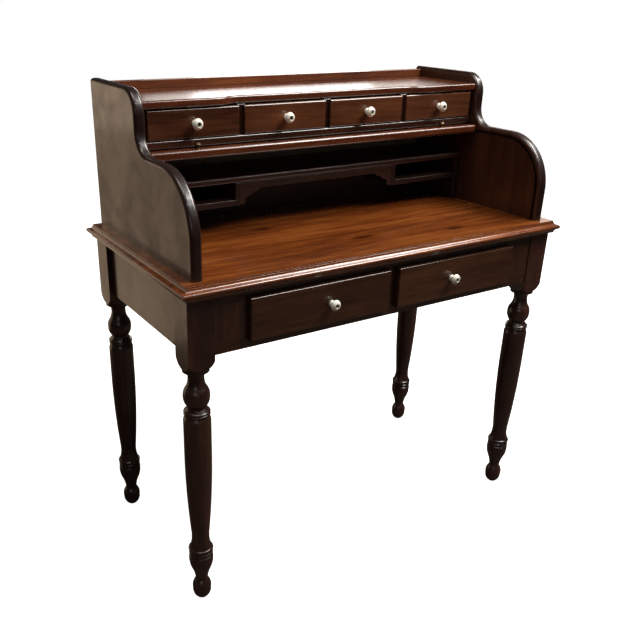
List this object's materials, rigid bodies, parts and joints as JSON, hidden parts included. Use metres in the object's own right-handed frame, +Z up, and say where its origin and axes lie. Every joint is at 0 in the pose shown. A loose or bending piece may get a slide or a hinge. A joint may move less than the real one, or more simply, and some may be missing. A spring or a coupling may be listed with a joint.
{
  "type": "roll top desk",
  "caption": "Small roll top writing desk on turned legs, with wide desk drawers, a row of small drawers, pigeonholes and a tambour that slides out of the case.",
  "frame": {"origin": "on the floor, in the middle of the width and of the depth over knobs and moulding", "axes": "+X to the desk's right as seen by somebody facing it, +Y to its back, +Z up"},
  "size_m": [1.016, 0.535, 1.082],
  "materials": {
    "top_wood": "gloss lacquer over orange-brown oak",
    "case_wood": "gloss lacquer over dark red-brown stained wood",
    "drawer_wood": "gloss lacquer over dark red-brown stained wood",
    "inner_wood": "plain planed wood",
    "back_wood": "stained, low sheen",
    "porcelain": "white glazed ceramic",
    "screw_steel": "darkened steel",
    "pull_metal": "darkened brass",
    "canvas": "woven canvas"
  },
  "bodies": {
    "desk": {"apron_left": "case_wood", "apron_rear": "case_wood", "apron_right": "case_wood", "back_panel": "back_wood", "case_board": "case_wood", "case_dividers": "case_wood", "desk_top": "top_wood", "drawer_kickers": "inner_wood", "drawer_runners": "inner_wood", "front_bottom_rail": "case_wood", "front_stiles": "case_wood", "front_top_rail": "case_wood", "gallery_rail": "case_wood", "glue_blocks": "inner_wood", "hutch_side_left": "case_wood", "hutch_side_right": "case_wood", "leg_front_left": "case_wood", "leg_front_right": "case_wood", "leg_rear_left": "case_wood", "leg_rear_right": "case_wood", "tambour_tail_canvas": "canvas", "tambour_tail_slats": "back_wood", "top_board": "case_wood", "top_screws": "screw_steel", "unit_back": "back_wood", "unit_end_panels": "case_wood", "unit_hangers": "case_wood", "unit_low_shelves": "case_wood", "unit_top_shelf": "case_wood", "unit_valance": "case_wood"},
    "desk_drawer_left": {"desk_drawer_left_bottom": "inner_wood", "desk_drawer_left_box": "inner_wood", "desk_drawer_left_front": "drawer_wood", "desk_drawer_left_knob": "porcelain", "desk_drawer_left_screw": "screw_steel"},
    "desk_drawer_right": {"desk_drawer_right_bottom": "inner_wood", "desk_drawer_right_box": "inner_wood", "desk_drawer_right_front": "drawer_wood", "desk_drawer_right_knob": "porcelain", "desk_drawer_right_screw": "screw_steel"},
    "small_drawer_1": {"small_drawer_1_box": "inner_wood", "small_drawer_1_front": "drawer_wood", "small_drawer_1_knob": "porcelain", "small_drawer_1_screw": "screw_steel"},
    "small_drawer_2": {"small_drawer_2_box": "inner_wood", "small_drawer_2_front": "drawer_wood", "small_drawer_2_knob": "porcelain", "small_drawer_2_screw": "screw_steel"},
    "small_drawer_3": {"small_drawer_3_box": "inner_wood", "small_drawer_3_front": "drawer_wood", "small_drawer_3_knob": "porcelain", "small_drawer_3_screw": "screw_steel"},
    "small_drawer_4": {"small_drawer_4_box": "inner_wood", "small_drawer_4_front": "drawer_wood", "small_drawer_4_knob": "porcelain", "small_drawer_4_screw": "screw_steel"},
    "tambour": {"tambour_lead_rail": "case_wood", "tambour_pulls": "pull_metal", "tambour_slats": "case_wood", "tambour_canvas": "canvas"}
  },
  "joints": [
    {"name": "desk_drawer_left_slide", "type": "slide", "parent": "desk", "child": "desk_drawer_left", "axis": [0, -1, 0], "range_m": [0, 0.3]},
    {"name": "desk_drawer_right_slide", "type": "slide", "parent": "desk", "child": "desk_drawer_right", "axis": [0, -1, 0], "range_m": [0, 0.3]},
    {"name": "small_drawer_1_slide", "type": "slide", "parent": "desk", "child": "small_drawer_1", "axis": [0, -1, 0], "range_m": [0, 0.12]},
    {"name": "small_drawer_2_slide", "type": "slide", "parent": "desk", "child": "small_drawer_2", "axis": [0, -1, 0], "range_m": [0, 0.12]},
    {"name": "small_drawer_3_slide", "type": "slide", "parent": "desk", "child": "small_drawer_3", "axis": [0, -1, 0], "range_m": [0, 0.12]},
    {"name": "small_drawer_4_slide", "type": "slide", "parent": "desk", "child": "small_drawer_4", "axis": [0, -1, 0], "range_m": [0, 0.12]},
    {"name": "tambour_slide", "type": "slide", "parent": "desk", "child": "tambour", "axis": [0, -1, 0], "range_m": [0, 0.105]}
  ]
}
